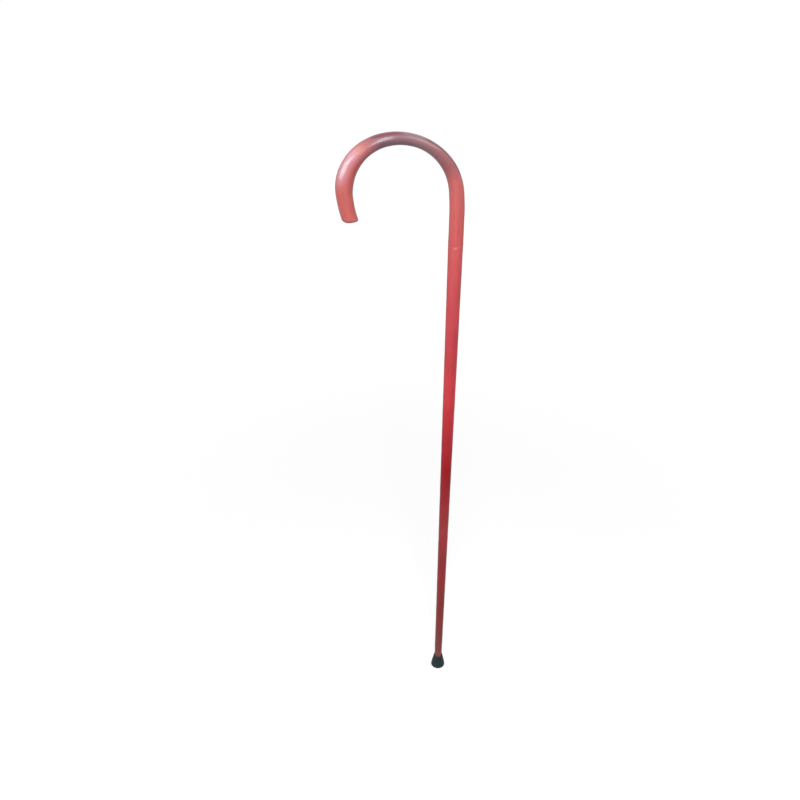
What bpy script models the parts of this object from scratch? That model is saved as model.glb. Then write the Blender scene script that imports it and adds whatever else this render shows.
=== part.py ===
"""Crook-handled wooden walking stick, in metres, standing upright with +Z up.

A steam-bent handle and a tapered shaft meet in a flush glued seam, with a threaded steel stud inside it.
A rubber ferrule, with a steel washer in its socket, is pushed on the tip of the shaft, and the stick
pulls out of it upwards. The origin is the centre of the ferrule's tread, the shaft stands on the Z axis
and the hook bends towards -X, all in the XZ plane.
"""

import bmesh
import bpy
import math

MM = 0.001

# Clearances between pieces that touch
SEAM_GAP = 0.3 * MM
STUD_CLEARANCE = 0.3 * MM
SOCKET_CLEARANCE = 0.3 * MM
WASHER_CLEARANCE = 0.3 * MM

# Shaft
SHAFT_LENGTH = 757 * MM
SHAFT_TIP_DIAMETER = 11.9 * MM
SHAFT_TOP_DIAMETER = 20.1 * MM
TIP_CHAMFER = 1.0 * MM
SEAM_CHAMFER = 0.4 * MM

# Handle: a straight leg, then four bends in one plane, as centreline radii and degrees turned
LEG_LENGTH = 38.6 * MM
LEAD_BEND_RADIUS = 320 * MM
LEAD_BEND_TURN = 6
REAR_BEND_RADIUS = 77.7 * MM
REAR_BEND_TURN = 97
FRONT_BEND_RADIUS = 63 * MM
FRONT_BEND_TURN = 82.5
NOSE_BEND_RADIUS = 155 * MM
NOSE_BEND_TURN = 14

# Handle sections: thickness lies in the plane of the hook, width across it
BEND_START_DIAMETER = 20.0 * MM
GRIP_TURN = 70
GRIP_THICKNESS = 15.2 * MM
GRIP_WIDTH = 21.8 * MM
FRONT_TURN = 168
FRONT_THICKNESS = 23.4 * MM
FRONT_WIDTH = 23.4 * MM
NOSE_THICKNESS = 20.4 * MM
NOSE_WIDTH = 21.4 * MM
NOSE_CUT_TILT = 11
NOSE_OUTER_ROUND = 5.4 * MM
NOSE_INNER_ROUND = 2.6 * MM

# Stud
STUD_DIAMETER = 8.0 * MM
STUD_LENGTH = 70 * MM
STUD_SHANK_LENGTH = 14 * MM
STUD_END_CHAMFER = 1.0 * MM
THREAD_PITCH = 2.0 * MM
THREAD_DEPTH = 0.7 * MM

# Ferrule
FERRULE_HEIGHT = 23 * MM
FERRULE_DIAMETER = 22.8 * MM
FERRULE_BULGE = 0.3 * MM
LIP_WALL = 1.0 * MM
LIP_BAND = 1.5 * MM
TREAD_THICKNESS = 5.0 * MM
TREAD_EDGE_ROUND = 2.0 * MM
TREAD_LAND_RADIUS = 4.2 * MM
TREAD_GROOVE_COUNT = 2
TREAD_GROOVE_PITCH = 2.5 * MM
TREAD_GROOVE_WIDTH = 1.1 * MM
TREAD_GROOVE_DEPTH = 1.2 * MM

# Washer
WASHER_RIM = 1.1 * MM
WASHER_THICKNESS = 1.5 * MM
WASHER_HOLE_DIAMETER = 4.5 * MM

# Mesh density
ROUND_SIDES = 32
STUD_SIDES = 20
BEND_STEP = 5
LEG_STEPS = 4
CURVE_STEPS = 6
SHARP_ANGLE = math.radians(35)
WELD_DISTANCE = 0.001 * MM
CUTTER_OVERSHOOT = 1.0 * MM

# Heights and radii that follow
WASHER_BOTTOM = TREAD_THICKNESS + WASHER_CLEARANCE
WASHER_TOP = WASHER_BOTTOM + WASHER_THICKNESS
SHAFT_BOTTOM = WASHER_TOP + WASHER_CLEARANCE
SHAFT_TOP = SHAFT_BOTTOM + SHAFT_LENGTH
HANDLE_BOTTOM = SHAFT_TOP + SEAM_GAP
SEAM_HEIGHT = (SHAFT_TOP + HANDLE_BOTTOM) / 2
BEND_START = HANDLE_BOTTOM + LEG_LENGTH
TOTAL_TURN = LEAD_BEND_TURN + REAR_BEND_TURN + FRONT_BEND_TURN + NOSE_BEND_TURN
NOSE_CUT_SLOPE = math.tan(math.radians(NOSE_CUT_TILT))
STUD_HOLE_RADIUS = STUD_DIAMETER / 2 + STUD_CLEARANCE
STUD_HOLE_DEPTH = STUD_LENGTH / 2 + STUD_CLEARANCE


def shaft_radius(height):
    """Radius of the tapered shaft at a height above the floor."""
    share = (height - SHAFT_BOTTOM) / SHAFT_LENGTH
    return (SHAFT_TIP_DIAMETER + share * (SHAFT_TOP_DIAMETER - SHAFT_TIP_DIAMETER)) / 2


def eased(start, end, share):
    """Value between start and end that leaves one and reaches the other without a kink."""
    share = min(max(share, 0.0), 1.0)
    return start + (end - start) * share * share * (3 - 2 * share)


def bend_centre(turn):
    """Centre of the handle, as (x, z), where it has turned through this many degrees."""
    bends = (
        (LEAD_BEND_RADIUS, LEAD_BEND_TURN),
        (REAR_BEND_RADIUS, REAR_BEND_TURN),
        (FRONT_BEND_RADIUS, FRONT_BEND_TURN),
        (NOSE_BEND_RADIUS, NOSE_BEND_TURN),
    )
    x, z, turned = 0.0, BEND_START, 0.0
    for radius, span in bends:
        start = math.radians(turned)
        turned = min(turn, turned + span)
        end = math.radians(turned)
        x += radius * (math.cos(end) - math.cos(start))
        z += radius * (math.sin(end) - math.sin(start))
    return x, z


def bend_section(turn):
    """Half thickness and half width of the handle at this turn."""
    stations = (
        (0, BEND_START_DIAMETER, BEND_START_DIAMETER),
        (GRIP_TURN, GRIP_THICKNESS, GRIP_WIDTH),
        (FRONT_TURN, FRONT_THICKNESS, FRONT_WIDTH),
        (TOTAL_TURN, NOSE_THICKNESS, NOSE_WIDTH),
    )
    half_thickness, half_width = BEND_START_DIAMETER / 2, BEND_START_DIAMETER / 2
    for first, second in zip(stations, stations[1:]):
        if turn >= first[0]:
            share = (turn - first[0]) / (second[0] - first[0])
            half_thickness = eased(first[1], second[1], share) / 2
            half_width = eased(first[2], second[2], share) / 2
    return half_thickness, half_width


def section_angles():
    return [2 * math.pi * side / ROUND_SIDES for side in range(ROUND_SIDES)]


def leg_ring(height, radius):
    """Round section of the straight leg, as a list of points."""
    return [(radius * math.cos(a), radius * math.sin(a), height) for a in section_angles()]


def bend_point(turn, angle, inset=0.0):
    """Point of the oval skin at a turn, with angle 0 on the outside of the bend."""
    half_thickness, half_width = bend_section(turn)
    outward = (half_thickness - inset) * math.cos(angle)
    across = (half_width - inset) * math.sin(angle)
    x, z = bend_centre(turn)
    heading = math.radians(turn)
    return (x + outward * math.cos(heading), across, z + outward * math.sin(heading))


def nose_ring(step):
    """One ring of the rounded nose, from where the rounding starts (0) to the cut (CURVE_STEPS)."""
    sweep = math.pi / 2 * step / CURVE_STEPS
    ring = []
    for angle in section_angles():
        outer_share = (1 + math.cos(angle)) / 2
        rounding = NOSE_INNER_ROUND + (NOSE_OUTER_ROUND - NOSE_INNER_ROUND) * outer_share
        inset = rounding * (1 - math.cos(sweep))
        outward = (NOSE_THICKNESS / 2 - inset) * math.cos(angle)
        short_of_end = rounding * (1 - math.sin(sweep)) + NOSE_CUT_SLOPE * (outward + NOSE_THICKNESS / 2)
        turn = TOTAL_TURN - math.degrees(short_of_end / NOSE_BEND_RADIUS)
        ring.append(bend_point(turn, angle, inset))
    return ring


def handle_rings():
    """Rings of the handle's skin from the seam to the nose."""
    seam_radius = SHAFT_TOP_DIAMETER / 2
    rings = [leg_ring(HANDLE_BOTTOM, seam_radius - SEAM_CHAMFER)]
    first = HANDLE_BOTTOM + SEAM_CHAMFER
    for step in range(LEG_STEPS):
        share = step / LEG_STEPS
        radius = eased(seam_radius, BEND_START_DIAMETER / 2, share)
        rings.append(leg_ring(first + share * (BEND_START - first), radius))
    nose_length = NOSE_OUTER_ROUND + NOSE_CUT_SLOPE * NOSE_THICKNESS
    last_turn = TOTAL_TURN - math.degrees(nose_length / NOSE_BEND_RADIUS)
    count = round(last_turn / BEND_STEP)
    for step in range(count):
        turn = last_turn * step / count
        rings.append([bend_point(turn, angle) for angle in section_angles()])
    rings += [nose_ring(step) for step in range(CURVE_STEPS + 1)]
    return rings


def new_material(name, colour, roughness, metallic=0.0):
    material = bpy.data.materials.new(name)
    material.use_nodes = True
    shader = material.node_tree.nodes["Principled BSDF"]
    shader.inputs["Base Color"].default_value = (*colour, 1.0)
    shader.inputs["Roughness"].default_value = roughness
    shader.inputs["Metallic"].default_value = metallic
    material.diffuse_color = (*colour, 1.0)
    return material


def add_object(name, mesh, collection, material=None):
    obj = bpy.data.objects.new(name, mesh)
    collection.objects.link(obj)
    if material:
        mesh.materials.append(material)
    return obj


def shade_round(mesh):
    mesh.shade_smooth()
    mesh.set_sharp_from_angle(angle=SHARP_ANGLE)


def add_lofted(name, rings, collection, material):
    """Solid skin through a list of rings, flat at both ends."""
    shape = bmesh.new()
    loops = [[shape.verts.new(point) for point in ring] for ring in rings]
    for lower, upper in zip(loops, loops[1:]):
        for side in range(ROUND_SIDES):
            after = (side + 1) % ROUND_SIDES
            shape.faces.new((lower[side], lower[after], upper[after], upper[side]))
    shape.faces.new(loops[-1])
    shape.faces.new(loops[0][::-1])
    bmesh.ops.recalc_face_normals(shape, faces=shape.faces)
    mesh = bpy.data.meshes.new(name)
    shape.to_mesh(mesh)
    shape.free()
    shade_round(mesh)
    return add_object(name, mesh, collection, material)


def add_turned(name, profile, sides, collection, material):
    """Solid turned about Z from an outline of (radius, height), down its outer side."""
    outline = bpy.data.meshes.new(name + "_outline")
    points = [(radius, 0.0, height) for radius, height in profile]
    edges = [(i, i + 1) for i in range(len(points) - 1)]
    outline.from_pydata(points, edges, [])
    source = add_object(name + "_outline", outline, collection)
    screw = source.modifiers.new("Turn", "SCREW")
    screw.steps = sides
    screw.render_steps = sides
    screw.use_merge_vertices = True
    screw.merge_threshold = WELD_DISTANCE
    graph = bpy.context.evaluated_depsgraph_get()
    mesh = bpy.data.meshes.new_from_object(source.evaluated_get(graph))
    mesh.name = name
    bpy.data.objects.remove(source)
    shade_round(mesh)
    return add_object(name, mesh, collection, material)


def add_stud_hole(handle, cutters):
    """Blind hole up the handle's leg for the stud."""
    top = SEAM_HEIGHT + STUD_HOLE_DEPTH
    bottom = HANDLE_BOTTOM - CUTTER_OVERSHOOT
    bpy.ops.mesh.primitive_cylinder_add(
        vertices=STUD_SIDES, radius=STUD_HOLE_RADIUS, depth=top - bottom, location=(0, 0, (top + bottom) / 2)
    )
    cutter = bpy.context.object
    cutter.name = "stud_hole_cutter"
    for collection in cutter.users_collection:
        collection.objects.unlink(cutter)
    cutters.objects.link(cutter)
    cutter.hide_render = True
    cutter.display_type = "WIRE"
    cut = handle.modifiers.new("Stud hole", "BOOLEAN")
    cut.operation = "DIFFERENCE"
    cut.object = cutter


def shaft_profile():
    hole_bottom = SEAM_HEIGHT - STUD_HOLE_DEPTH
    top_edge = SHAFT_TOP - SEAM_CHAMFER
    return [
        (0, hole_bottom),
        (STUD_HOLE_RADIUS, hole_bottom),
        (STUD_HOLE_RADIUS, SHAFT_TOP),
        (shaft_radius(SHAFT_TOP) - SEAM_CHAMFER, SHAFT_TOP),
        (shaft_radius(top_edge), top_edge),
        (shaft_radius(SHAFT_BOTTOM + TIP_CHAMFER), SHAFT_BOTTOM + TIP_CHAMFER),
        (shaft_radius(SHAFT_BOTTOM) - TIP_CHAMFER, SHAFT_BOTTOM),
        (0, SHAFT_BOTTOM),
    ]


def stud_profile():
    """Threaded ends, drawn as turned ridges, on each side of a plain shank."""
    crest = STUD_DIAMETER / 2
    root = crest - THREAD_DEPTH
    shank_top = SEAM_HEIGHT + STUD_SHANK_LENGTH / 2
    stud_top = SEAM_HEIGHT + STUD_LENGTH / 2
    thread_length = stud_top - STUD_END_CHAMFER - shank_top
    ridges = round(thread_length / THREAD_PITCH)
    pitch = thread_length / ridges
    upper = [(crest, shank_top)]
    for ridge in range(ridges):
        upper += [(root, shank_top + (ridge + 0.5) * pitch), (crest, shank_top + (ridge + 1) * pitch)]
    upper += [(crest - STUD_END_CHAMFER, stud_top), (0, stud_top)]
    lower = [(radius, 2 * SEAM_HEIGHT - height) for radius, height in upper]
    return upper[::-1] + lower


def ferrule_side(share):
    """Radius and height on the ferrule's convex side, from under the lip (0) to the tread edge (1)."""
    top = FERRULE_HEIGHT - LIP_BAND
    lip_radius = shaft_radius(FERRULE_HEIGHT) + SOCKET_CLEARANCE + LIP_WALL
    straight = lip_radius + share * (FERRULE_DIAMETER / 2 - lip_radius)
    height = top + share * (TREAD_EDGE_ROUND - top)
    return straight + 4 * FERRULE_BULGE * share * (1 - share), height


def tread_profile():
    """Flat tread from its round edge inwards, with ring grooves round a plain middle."""
    points = []
    for step in range(1, CURVE_STEPS + 1):
        sweep = math.pi / 2 * step / CURVE_STEPS
        radius = FERRULE_DIAMETER / 2 - TREAD_EDGE_ROUND * (1 - math.cos(sweep))
        points.append((radius, TREAD_EDGE_ROUND * (1 - math.sin(sweep))))
    for groove in reversed(range(TREAD_GROOVE_COUNT)):
        inner = TREAD_LAND_RADIUS + groove * TREAD_GROOVE_PITCH
        outer = inner + TREAD_GROOVE_WIDTH
        points += [(outer, 0), (outer, TREAD_GROOVE_DEPTH), (inner, TREAD_GROOVE_DEPTH), (inner, 0)]
    return points + [(0, 0)]


def boot_profile():
    recess_radius = washer_radius() + WASHER_CLEARANCE
    socket_bottom = shaft_radius(SHAFT_BOTTOM) + SOCKET_CLEARANCE
    socket_top = shaft_radius(FERRULE_HEIGHT) + SOCKET_CLEARANCE
    side = [ferrule_side(step / CURVE_STEPS) for step in range(CURVE_STEPS + 1)]
    return [
        (0, TREAD_THICKNESS),
        (recess_radius, TREAD_THICKNESS),
        (recess_radius, SHAFT_BOTTOM),
        (socket_bottom, SHAFT_BOTTOM),
        (socket_top, FERRULE_HEIGHT),
        (socket_top + LIP_WALL, FERRULE_HEIGHT),
        *side,
        *tread_profile(),
    ]


def washer_radius():
    return shaft_radius(SHAFT_BOTTOM) + SOCKET_CLEARANCE + WASHER_RIM


def washer_profile():
    hole = WASHER_HOLE_DIAMETER / 2
    return [
        (hole, WASHER_BOTTOM),
        (hole, WASHER_TOP),
        (washer_radius(), WASHER_TOP),
        (washer_radius(), WASHER_BOTTOM),
        (hole, WASHER_BOTTOM),
    ]


def build_stick(parts, cutters):
    """Handle, shaft and the stud that joins them."""
    handle_lacquer = new_material("handle_lacquer", (0.53, 0.13, 0.12), 0.25)
    shaft_lacquer = new_material("shaft_lacquer", (0.42, 0.06, 0.07), 0.3)
    stud_steel = new_material("stud_steel", (0.55, 0.56, 0.57), 0.35, metallic=1.0)
    handle = add_lofted("crook_handle", handle_rings(), parts, handle_lacquer)
    add_stud_hole(handle, cutters)
    add_turned("shaft", shaft_profile(), ROUND_SIDES, parts, shaft_lacquer)
    add_turned("joint_stud", stud_profile(), STUD_SIDES, parts, stud_steel)


def build_ferrule(parts):
    """Rubber boot and its washer, under an empty on the axis that the stick is pulled out along."""
    rubber = new_material("ferrule_rubber", (0.035, 0.05, 0.05), 0.75)
    steel = new_material("washer_steel", (0.5, 0.51, 0.52), 0.4, metallic=1.0)
    pull = bpy.data.objects.new("ferrule_pull_axis", None)
    parts.objects.link(pull)
    boot = add_turned("ferrule_boot", boot_profile(), ROUND_SIDES, parts, rubber)
    washer = add_turned("ferrule_washer", washer_profile(), ROUND_SIDES, parts, steel)
    boot.parent = pull
    washer.parent = pull


def new_collection(name):
    collection = bpy.data.collections.new(name)
    bpy.context.scene.collection.children.link(collection)
    return collection


def main():
    for obj in list(bpy.data.objects):
        bpy.data.objects.remove(obj)
    parts = new_collection("crook_walking_stick")
    cutters = new_collection("cutters")
    build_stick(parts, cutters)
    build_ferrule(parts)


main()
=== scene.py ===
# %% [markdown]
# A crook-handled walking stick, dressed for its picture.
#
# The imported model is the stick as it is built: a steam-bent handle, a tapered shaft, a steel stud that
# joins them, a rubber ferrule and its washer. Here each piece gets the surface that a hand would find on
# it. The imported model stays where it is, and every new piece is laid exactly over the one it stands for.

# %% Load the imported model
import bpy
import math
import numpy as np
from mathutils import Matrix, Vector


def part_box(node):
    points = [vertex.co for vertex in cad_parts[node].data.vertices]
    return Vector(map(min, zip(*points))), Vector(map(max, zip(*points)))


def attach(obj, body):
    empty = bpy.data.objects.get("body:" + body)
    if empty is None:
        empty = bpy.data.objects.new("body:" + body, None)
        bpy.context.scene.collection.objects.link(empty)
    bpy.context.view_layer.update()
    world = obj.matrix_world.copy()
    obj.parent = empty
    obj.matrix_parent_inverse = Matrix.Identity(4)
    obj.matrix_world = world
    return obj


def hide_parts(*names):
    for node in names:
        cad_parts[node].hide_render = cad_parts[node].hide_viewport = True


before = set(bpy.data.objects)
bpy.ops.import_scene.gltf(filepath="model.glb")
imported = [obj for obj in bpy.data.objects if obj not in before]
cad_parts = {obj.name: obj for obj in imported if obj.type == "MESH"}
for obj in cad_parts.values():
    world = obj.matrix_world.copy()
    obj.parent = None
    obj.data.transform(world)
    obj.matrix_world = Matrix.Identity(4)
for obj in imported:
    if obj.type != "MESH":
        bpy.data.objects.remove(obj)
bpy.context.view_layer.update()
MM = 0.001
print("Packed pieces:", sorted(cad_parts))

# %% [markdown]
# The camera comes first, because everything later is judged through it. A camera in Blender looks down
# its own -Z axis with +Y up, so its matrix is three arrows and a place. Here the arrows are worked out
# from plain angles: how far round the stick the camera stands, how far it looks down, and its small roll.
# The lens follows from how many pixels one unit of slope covers in a picture 800 pixels wide.

# %% Camera at the photograph's angle
IMAGE_WIDTH = 800
SENSOR_WIDTH = 36.0
PIXELS_PER_SLOPE = 956.9
CAMERA_DISTANCE = 1.186
CAMERA_HEIGHT = 1.2287
CAMERA_ROUND = math.radians(-11.998)
CAMERA_AIM = math.radians(-8.5945)
CAMERA_DOWN = math.radians(30.682)
CAMERA_ROLL = math.radians(0.7165)


def camera_matrix():
    """Arrows right, up and back, and the place: back is against the view, and roll mixes right and up."""
    ahead = Vector((
        -math.sin(CAMERA_AIM) * math.cos(CAMERA_DOWN),
        math.cos(CAMERA_AIM) * math.cos(CAMERA_DOWN),
        -math.sin(CAMERA_DOWN),
    ))
    level = Vector((math.cos(CAMERA_AIM), math.sin(CAMERA_AIM), 0.0))
    raised = level.cross(ahead)
    right = math.cos(CAMERA_ROLL) * level + math.sin(CAMERA_ROLL) * raised
    up = math.cos(CAMERA_ROLL) * raised - math.sin(CAMERA_ROLL) * level
    arrows = Matrix((right, up, -ahead)).transposed().to_4x4()
    place = (
        CAMERA_DISTANCE * math.sin(CAMERA_ROUND),
        -CAMERA_DISTANCE * math.cos(CAMERA_ROUND),
        CAMERA_HEIGHT,
    )
    return Matrix.Translation(place) @ arrows


lens = bpy.data.cameras.new("photo_camera")
lens.sensor_width = SENSOR_WIDTH
lens.lens = PIXELS_PER_SLOPE * SENSOR_WIDTH / IMAGE_WIDTH
camera = bpy.data.objects.new("photo_camera", lens)
camera.matrix_world = camera_matrix()
bpy.context.collection.objects.link(camera)
bpy.context.scene.camera = camera
bpy.context.scene.view_settings.view_transform = "Standard"
print("Lens", round(lens.lens, 2), "mm")

# %% [markdown]
# Every piece of this stick is a stack of rings: a tube that is straight, tapered, bent or stepped. So one
# function can make them all from an array of rings, each with the same number of points. Neighbouring
# rings are joined by four-sided faces. A pole, one point in the middle, closes each end, and a washer,
# which has no ends, joins its last ring to its first. Blender's Screw modifier could turn the straight
# pieces, but not the bent one, and arrays let the same ripple formula run over all of them.

# %% Rings to mesh
SIDES = 144
AROUND = np.arange(SIDES) * 2 * math.pi / SIDES
SHARP_ANGLE = math.radians(40)


def ring_faces(rows, sides, joined):
    """Corner numbers of the faces between rings: each point, the next one round, and the two above."""
    index = np.arange(rows * sides).reshape(rows, sides)
    if joined:
        index = np.vstack([index, index[:1]])
    after = np.roll(index, -1, axis=1)
    quads = np.stack([index[:-1], after[:-1], after[1:], index[1:]], axis=-1)
    return quads.reshape(-1, 4), index, after


def pole_faces(index, after, first_pole):
    """Corner numbers of the triangles from each end ring to its pole, turned to face outwards."""
    start = np.full_like(index[0], first_pole)
    start_fan = np.stack([start, after[0], index[0]], axis=-1)
    end_fan = np.stack([start + 1, index[-1], after[-1]], axis=-1)
    return np.vstack([start_fan, end_fan])


def mesh_from_rings(name, rings, grain=None, joined=False):
    """Closed mesh through an array of rings. grain is each point's place in the straight wood."""
    rows, sides = rings.shape[:2]
    quads, index, after = ring_faces(rows, sides, joined)
    points = rings.reshape(-1, 3)
    faces = quads.tolist()
    if not joined:
        points = np.vstack([points, rings[0].mean(axis=0), rings[-1].mean(axis=0)])
        faces += pole_faces(index, after, rows * sides).tolist()
    mesh = bpy.data.meshes.new(name)
    mesh.from_pydata(points.tolist(), [], faces)
    if grain is not None:
        flat = grain.reshape(-1, 3)
        flat = np.vstack([flat, grain[0].mean(axis=0), grain[-1].mean(axis=0)])
        place = mesh.attributes.new("grain_place", "FLOAT_VECTOR", "POINT")
        place.data.foreach_set("vector", flat.ravel())
    mesh.shade_smooth()
    mesh.set_sharp_from_angle(angle=SHARP_ANGLE)
    return mesh


def add_piece(name, mesh, material, body, node):
    """New piece that rides on a body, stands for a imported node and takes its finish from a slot."""
    mesh.materials.append(material)
    piece = bpy.data.objects.new(name, mesh)
    bpy.context.collection.objects.link(piece)
    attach(piece, body)
    if node:
        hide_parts(node)
    print(name, "has", len(mesh.polygons), "faces")


def turned_rings(radii, heights, sides=SIDES):
    """Rings about the Z axis: each point is radius times the cosine and sine of its angle, at a height."""
    turn = np.arange(sides) * 2 * math.pi / sides
    radii = np.asarray(radii)[:, None]
    heights = np.broadcast_to(np.asarray(heights)[:, None], (len(heights), sides))
    return np.stack([radii * np.cos(turn), radii * np.sin(turn), heights], axis=-1)


# %% [markdown]
# Materials are built from nodes. A few small helpers keep that short. The first adds a node, sets its
# options, and gives each input either a number or a link, and the others build on it. A node group is a
# reusable effect with named inputs and outputs, as a function is in code. A Mix node has sockets for each
# kind of value, so the numbers of its colour sockets get names.

# %% Node helpers
NUMBER = "NodeSocketFloat"
ARROW = "NodeSocketVector"
MIX_SHARE, MIX_FIRST, MIX_SECOND, MIX_RESULT = 0, 6, 7, 2


def node(tree, kind, inputs, **options):
    """Adds a node. An input given as a socket is linked, and any other value is set."""
    made = tree.nodes.new(kind)
    for option, value in options.items():
        setattr(made, option, value)
    for socket, value in inputs.items():
        if isinstance(value, bpy.types.NodeSocket):
            tree.links.new(value, made.inputs[socket])
        else:
            made.inputs[socket].default_value = value
    return made


def start_group(name, inputs, outputs):
    """New group with named sockets. Returns its tree, what comes in and what goes out."""
    tree = bpy.data.node_groups.new(name, "ShaderNodeTree")
    for title, kind in inputs:
        tree.interface.new_socket(title, in_out="INPUT", socket_type=kind)
    for title, kind in outputs:
        tree.interface.new_socket(title, in_out="OUTPUT", socket_type=kind)
    return tree, tree.nodes.new("NodeGroupInput").outputs, tree.nodes.new("NodeGroupOutput").inputs


def use_group(tree, group, inputs):
    """Places a group in a material and returns its outputs."""
    return node(tree, "ShaderNodeGroup", inputs, node_tree=group).outputs


def object_place(tree):
    """Where a point is on its piece before the piece moves, as an arrow in metres."""
    return node(tree, "ShaderNodeTexCoord", {}).outputs["Object"]


def axes(tree, place):
    """The X, Y and Z of a place, each as a number."""
    return node(tree, "ShaderNodeSeparateXYZ", {0: place}).outputs


def noise(tree, place, scale, detail=2.0, stretch=(1.0, 1.0, 1.0)):
    """Cloudy value from 0 to 1, with scale clouds to the metre, stretched by scaling its place."""
    stretched = node(tree, "ShaderNodeVectorMath", {0: place, 1: stretch}, operation="MULTIPLY").outputs[0]
    clouds = {"Vector": stretched, "Scale": scale, "Detail": detail}
    return node(tree, "ShaderNodeTexNoise", clouds).outputs[0]


def between(tree, value, low, high, to_low=0.0, to_high=1.0):
    """Smooth step: to_low up to low, to_high from high on, and an even curve between."""
    made = node(
        tree, "ShaderNodeMapRange",
        {"Value": value, "From Min": low, "From Max": high, "To Min": to_low, "To Max": to_high},
        interpolation_type="SMOOTHSTEP",
    )
    return made.outputs["Result"]


def maths(tree, operation, first, second):
    """One sum, product or comparison of two values."""
    return node(tree, "ShaderNodeMath", {0: first, 1: second}, operation=operation).outputs[0]


def blend(tree, share, first, second, blend_type="MIX"):
    """Colour that goes from the first to the second as share goes from 0 to 1."""
    inputs = {MIX_SHARE: share, MIX_FIRST: first, MIX_SECOND: second}
    made = node(tree, "ShaderNodeMix", inputs, data_type="RGBA", blend_type=blend_type)
    return made.outputs[MIX_RESULT]


def bumps(tree, height, distance, strength=1.0):
    """Direction of a skin whose height runs over this distance, as an arrow for a Normal input."""
    inputs = {"Height": height, "Distance": distance, "Strength": strength}
    return node(tree, "ShaderNodeBump", inputs).outputs[0]


def new_material(name):
    """Material with its node tree and its Principled shader."""
    material = bpy.data.materials.new(name)
    material.use_nodes = True
    return material, material.node_tree, material.node_tree.nodes["Principled BSDF"]


def linear(red, green, blue):
    """Colour written as 0 to 255, as a picture shows it, turned into the light it stands for."""
    shown = np.array([red, green, blue]) / 255
    light = np.where(shown <= 0.04045, shown / 12.92, ((shown + 0.055) / 1.055) ** 2.4)
    return (*light.tolist(), 1.0)


# %% [markdown]
# Red stain goes into wood unevenly. It gathers in the fine pores that run along the grain, follows the
# growth figure in long streaks, and takes more or less in soft blotches. All three are the same cloud
# noise, stretched along the wood by different amounts. The noise doesn't read the place of a point in
# the room but its place in the straight wood, before the handle was steamed and bent, so the grain
# follows the hook round as it does on the real stick.

# %% Group: how stain takes on wood
PORES = {"scale": 1300.0, "detail": 2.0, "stretch": (1.0, 1.0, 0.03)}
FIGURE = {"scale": 170.0, "detail": 3.0, "stretch": (1.0, 1.0, 0.05)}
BLOTCHES = {"scale": 36.0, "detail": 2.0, "stretch": (1.0, 1.0, 0.4)}
PORE_LEVELS = (0.55, 0.75)
STREAK_LEVELS = (0.3, 0.7)


def wood_group():
    """Masks of the pores, the growth figure and the blotches: noise, steepened between two levels."""
    tree, given, out = start_group(
        "stained_wood", [("Place", ARROW)], [("Pores", NUMBER), ("Figure", NUMBER), ("Blotch", NUMBER)]
    )
    pores = noise(tree, given["Place"], **PORES)
    figure = noise(tree, given["Place"], **FIGURE)
    blotch = noise(tree, given["Place"], **BLOTCHES)
    tree.links.new(between(tree, pores, *PORE_LEVELS), out["Pores"])
    tree.links.new(between(tree, figure, *STREAK_LEVELS), out["Figure"])
    tree.links.new(between(tree, blotch, *STREAK_LEVELS), out["Blotch"])
    return tree


STAINED_WOOD = wood_group()
print("Group", STAINED_WOOD.name)

# %% [markdown]
# Lacquer that is brushed or dipped on a round stick never dries quite flat. It leaves long shallow
# ripples, which break the edge of a highlight, and a fine pebbled skin. Both are heights for a Bump node.
# The ripples could be modelled, but they are less than a tenth of a millimetre high, so a bump is enough.
# The group also gives a scuff mask: sparse short marks where the gloss has gone.

# %% Group: lacquer skin
RIPPLES = {"scale": 130.0, "detail": 1.0, "stretch": (1.0, 1.0, 0.5)}
PEBBLES = {"scale": 900.0, "detail": 1.0}
PEBBLE_SHARE = 0.015
SCUFFS = {"scale": 260.0, "detail": 4.0, "stretch": (1.0, 1.0, 0.35)}
SCUFF_LEVELS = (0.66, 0.74)


def lacquer_group():
    """Height of the skin, which is ripples plus a small share of pebbles, and the mask of the scuffs."""
    tree, given, out = start_group(
        "lacquer_skin", [("Place", ARROW)], [("Height", NUMBER), ("Scuffs", NUMBER)]
    )
    ripple = noise(tree, given["Place"], **RIPPLES)
    pebble = noise(tree, given["Place"], **PEBBLES)
    scuff = noise(tree, given["Place"], **SCUFFS)
    height = maths(tree, "ADD", ripple, maths(tree, "MULTIPLY", pebble, PEBBLE_SHARE))
    tree.links.new(height, out["Height"])
    tree.links.new(between(tree, scuff, *SCUFF_LEVELS), out["Scuffs"])
    return tree


LACQUER_SKIN = lacquer_group()
print("Group", LACQUER_SKIN.name)

# %% [markdown]
# Handle and shaft meet in a glued seam, filled, sanded flush and lacquered over. Just under the seam in
# front is one small pale pink spot, and a fine pale line runs on to the right: both are a painted highlight,
# where light glints on the seam. They cross from one piece to the other, so they are a mask that handle,
# shaft and filler all read. A point's angle round the stick and its height above the spot give how far it
# is from the spot's middle, and noise makes the spot's rim ragged. The line is a narrow band of height that
# fades out at both ends.

# %% Group: painted glint at the seam, a spot and a hairline
SEAM_HEIGHT = (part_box("joint_stud")[1].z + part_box("joint_stud")[0].z) / 2
GLINT_MIDDLE = math.radians(-101)
GLINT_HALF_ANGLE = math.radians(19)
GLINT_HALF_HEIGHT = 1.7 * MM
GLINT_DROP = 1.5 * MM
GLINT_GRAIN = 800.0
GLINT_RAGGED = 0.6
GLINT_FADE = (0.2, 1.7)
LINE_END = math.radians(-30)
LINE_HALF_HEIGHT = 0.7 * MM
LINE_STRENGTH = 0.3


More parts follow.
